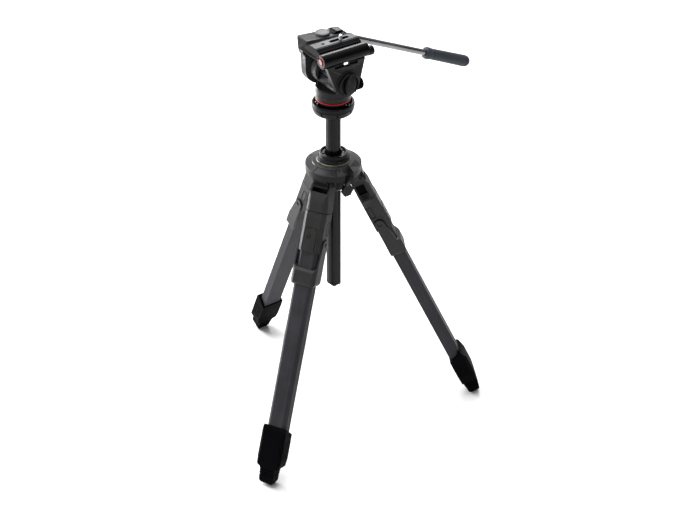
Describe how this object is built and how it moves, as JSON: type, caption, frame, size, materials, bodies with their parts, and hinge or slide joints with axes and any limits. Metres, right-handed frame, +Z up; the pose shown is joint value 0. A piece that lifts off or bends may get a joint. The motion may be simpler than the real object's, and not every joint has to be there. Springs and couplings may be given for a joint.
{
  "type": "camera tripod with fluid head",
  "caption": "Camera tripod: folding, telescopic dark-grey legs on a round crown, a sliding centre column, and a fluid pan and tilt head with a sliding camera plate and a pan bar.",
  "frame": {"origin": "centre of the bounding box at floor level", "axes": "+Z up; the lens side of the head faces -Y and the pan bar reaches back along +Y"},
  "size_m": [0.4612, 0.6256, 0.8023],
  "materials": {
    "black_trim": "gloss black",
    "casting": "matte warm-grey paint",
    "column_black": "semi-gloss black",
    "gold": "dull olive-gold anodised ring",
    "grip": "matte slate-blue rubber",
    "knob": "satin black moulded plastic",
    "level_disc": "pale grey",
    "moulding": "matte dark-grey moulded plastic",
    "red": "gloss red",
    "rubber": "matte black rubber",
    "steel": "bright metal",
    "tube": "satin dark bluish-grey with a fine lengthwise grain"
  },
  "bodies": {
    "crown_body": {"crown": "casting", "crown_cover": "casting", "collar_trim_ring": "gold", "column_collar": "casting"},
    "front_leg": {"front_leg_housing": "moulding", "front_leg_cover": "moulding", "front_hinge_bolt": "steel", "front_outer_tube": "tube"},
    "front_lock_lever": {"front_lock_lever": "moulding"},
    "front_side_latch": {"front_side_latch": "black_trim"},
    "front_middle_section": {"front_middle_tube": "tube"},
    "front_lower_section": {"front_lower_tube": "tube", "front_foot": "rubber"},
    "front_angle_tab": {"front_angle_tab": "black_trim"},
    "right_leg": {"right_leg_housing": "moulding", "right_leg_cover": "moulding", "right_hinge_bolt": "steel", "right_outer_tube": "tube"},
    "right_lock_lever": {"right_lock_lever": "moulding"},
    "right_side_latch": {"right_side_latch": "black_trim"},
    "right_middle_section": {"right_middle_tube": "tube"},
    "right_lower_section": {"right_lower_tube": "tube", "right_foot": "rubber"},
    "right_angle_tab": {"right_angle_tab": "black_trim"},
    "left_leg": {"left_leg_housing": "moulding", "left_leg_cover": "moulding", "left_hinge_bolt": "steel", "left_outer_tube": "tube"},
    "left_lock_lever": {"left_lock_lever": "moulding"},
    "left_side_latch": {"left_side_latch": "black_trim"},
    "left_middle_section": {"left_middle_tube": "tube"},
    "left_lower_section": {"left_lower_tube": "tube", "left_foot": "rubber"},
    "left_angle_tab": {"left_angle_tab": "black_trim"},
    "column_lock": {"column_lock_screw": "steel", "column_lock_lever": "knob"},
    "column": {"column_tube": "column_black", "column_foot_cap": "knob", "head_receiver": "black_trim", "head_foot": "steel", "red_ring": "red"},
    "column_button": {"column_button": "steel"},
    "release_ring": {"head_release_ring": "knob"},
    "pan_base": {"pan_body": "casting", "fluid_cartridge": "casting"},
    "pan_lock_knob": {"pan_lock_knob": "rubber"},
    "tilt_head": {"tilt_cradle": "casting", "tilt_axle": "steel", "bubble_level": "level_disc", "accessory_block": "knob"},
    "tilt_lock_knob": {"tilt_lock_knob": "knob"},
    "clamp_knob": {"clamp_knob": "knob"},
    "clamp_jaw": {"clamp_jaw": "steel"},
    "plate_release_button": {"plate_release_button": "red"},
    "camera_plate": {"sliding_plate": "black_trim"},
    "camera_screw": {"camera_screw": "steel"},
    "pan_bar": {"pan_bar_bracket": "casting", "pan_bar_rod": "steel", "pan_bar_grip": "grip"},
    "pan_bar_knob": {"pan_bar_knob": "knob"}
  },
  "joints": [
    {"name": "front_leg_hinge", "type": "hinge", "parent": "crown_body", "child": "front_leg", "pos_m": [0.08649, -0.0813, 0.52876], "axis": [-0.866, -0.5, 0], "range_deg": [-25, 55]},
    {"name": "front_lock_lever_hinge", "type": "hinge", "parent": "front_leg", "child": "front_lock_lever", "pos_m": [0.10928, -0.12077, 0.42865], "axis": [-0.866, -0.5, 0], "range_deg": [0, 80]},
    {"name": "front_side_latch_slide", "type": "slide", "parent": "front_leg", "child": "front_side_latch", "axis": [-0.2113, 0.366, 0.9063], "range_m": [0, 0.007]},
    {"name": "front_middle_section_slide", "type": "slide", "parent": "front_leg", "child": "front_middle_section", "axis": [0.2113, -0.366, -0.9063], "range_m": [0, 0.35]},
    {"name": "front_lower_section_slide", "type": "slide", "parent": "front_middle_section", "child": "front_lower_section", "axis": [0.2113, -0.366, -0.9063], "range_m": [0, 0.35]},
    {"name": "front_angle_tab_slide", "type": "slide", "parent": "crown_body", "child": "front_angle_tab", "axis": [0.5, -0.866, 0], "range_m": [0, 0.004]},
    {"name": "right_leg_hinge", "type": "hinge", "parent": "crown_body", "child": "right_leg", "pos_m": [0.08649, -0.01461, 0.52876], "axis": [0.866, -0.5, 0], "range_deg": [-25, 55]},
    {"name": "right_lock_lever_hinge", "type": "hinge", "parent": "right_leg", "child": "right_lock_lever", "pos_m": [0.10928, 0.02486, 0.42865], "axis": [0.866, -0.5, 0], "range_deg": [0, 80]},
    {"name": "right_side_latch_slide", "type": "slide", "parent": "right_leg", "child": "right_side_latch", "axis": [-0.2113, -0.366, 0.9063], "range_m": [0, 0.007]},
    {"name": "right_middle_section_slide", "type": "slide", "parent": "right_leg", "child": "right_middle_section", "axis": [0.2113, 0.366, -0.9063], "range_m": [0, 0.35]},
    {"name": "right_lower_section_slide", "type": "slide", "parent": "right_middle_section", "child": "right_lower_section", "axis": [0.2113, 0.366, -0.9063], "range_m": [0, 0.35]},
    {"name": "right_angle_tab_slide", "type": "slide", "parent": "crown_body", "child": "right_angle_tab", "axis": [0.5, 0.866, 0], "range_m": [0, 0.004]},
    {"name": "left_leg_hinge", "type": "hinge", "parent": "crown_body", "child": "left_leg", "pos_m": [0.02874, -0.04795, 0.52876], "axis": [0, 1, 0], "range_deg": [-25, 55]},
    {"name": "left_lock_lever_hinge", "type": "hinge", "parent": "left_leg", "child": "left_lock_lever", "pos_m": [-0.01684, -0.04795, 0.42865], "axis": [0, 1, 0], "range_deg": [0, 80]},
    {"name": "left_side_latch_slide", "type": "slide", "parent": "left_leg", "child": "left_side_latch", "axis": [0.4226, 0, 0.9063], "range_m": [0, 0.007]},
    {"name": "left_middle_section_slide", "type": "slide", "parent": "left_leg", "child": "left_middle_section", "axis": [-0.4226, 0, -0.9063], "range_m": [0, 0.35]},
    {"name": "left_lower_section_slide", "type": "slide", "parent": "left_middle_section", "child": "left_lower_section", "axis": [-0.4226, 0, -0.9063], "range_m": [0, 0.35]},
    {"name": "left_angle_tab_slide", "type": "slide", "parent": "crown_body", "child": "left_angle_tab", "axis": [-1, 0, 0], "range_m": [0, 0.004]},
    {"name": "column_lock_turn", "type": "hinge", "parent": "crown_body", "child": "column_lock", "pos_m": [0.11124, -0.04795, 0.53176], "axis": [1, 0, 0], "range_deg": [0, 70]},
    {"name": "column_slide", "type": "slide", "parent": "crown_body", "child": "column", "axis": [0, 0, 1], "range_m": [-0.06, 0.17]},
    {"name": "column_button_press", "type": "slide", "parent": "column", "child": "column_button", "axis": [0, -1, 0], "range_m": [0, 0.002], "stiffness_N_per_m": 300},
    {"name": "head_release_turn", "type": "hinge", "parent": "column", "child": "release_ring", "pos_m": [0.06724, -0.04795, 0.65876], "axis": [0, 0, 1], "range_deg": [0, 40]},
    {"name": "pan", "type": "hinge", "parent": "column", "child": "pan_base", "pos_m": [0.06724, -0.04795, 0.69876], "axis": [0, 0, 1], "continuous": true},
    {"name": "pan_lock_turn", "type": "hinge", "parent": "pan_base", "child": "pan_lock_knob", "pos_m": [0.08324, -0.00995, 0.70876], "axis": [0, 1, 0], "range_deg": [0, 180]},
    {"name": "tilt", "type": "hinge", "parent": "pan_base", "child": "tilt_head", "pos_m": [0.06724, -0.04495, 0.72976], "axis": [1, 0, 0], "range_deg": [-45, 75]},
    {"name": "tilt_lock_turn", "type": "hinge", "parent": "tilt_head", "child": "tilt_lock_knob", "pos_m": [0.11524, -0.04495, 0.72976], "axis": [1, 0, 0], "range_deg": [0, 120]},
    {"name": "clamp_turn", "type": "hinge", "parent": "tilt_head", "child": "clamp_knob", "pos_m": [0.09924, 0.00705, 0.77476], "axis": [0, 1, 0], "range_deg": [0, 90]},
    {"name": "clamp_jaw_slide", "type": "slide", "parent": "tilt_head", "child": "clamp_jaw", "axis": [1, 0, 0], "range_m": [0, 0.001]},
    {"name": "plate_release_press", "type": "slide", "parent": "tilt_head", "child": "plate_release_button", "axis": [0, 1, 0], "range_m": [0, 0.002], "stiffness_N_per_m": 300},
    {"name": "plate_slide", "type": "slide", "parent": "tilt_head", "child": "camera_plate", "axis": [0, 1, 0], "range_m": [-0.02, 0.02]},
    {"name": "camera_screw_turn", "type": "hinge", "parent": "camera_plate", "child": "camera_screw", "pos_m": [0.06724, -0.03195, 0.78876], "axis": [0, 0, 1], "continuous": true},
    {"name": "pan_bar_angle", "type": "hinge", "parent": "tilt_head", "child": "pan_bar", "pos_m": [0.00024, -0.00155, 0.76936], "axis": [1, 0, 0], "range_deg": [-15, 60]},
    {"name": "pan_bar_knob_turn", "type": "hinge", "parent": "pan_bar", "child": "pan_bar_knob", "pos_m": [0.00024, -0.00155, 0.76936], "axis": [1, 0, 0], "range_deg": [0, 120]}
  ],
  "couplings": [
    {"joint": "clamp_turn", "follows": "clamp_jaw_slide", "rad_per_m": 1570.8}
  ]
}
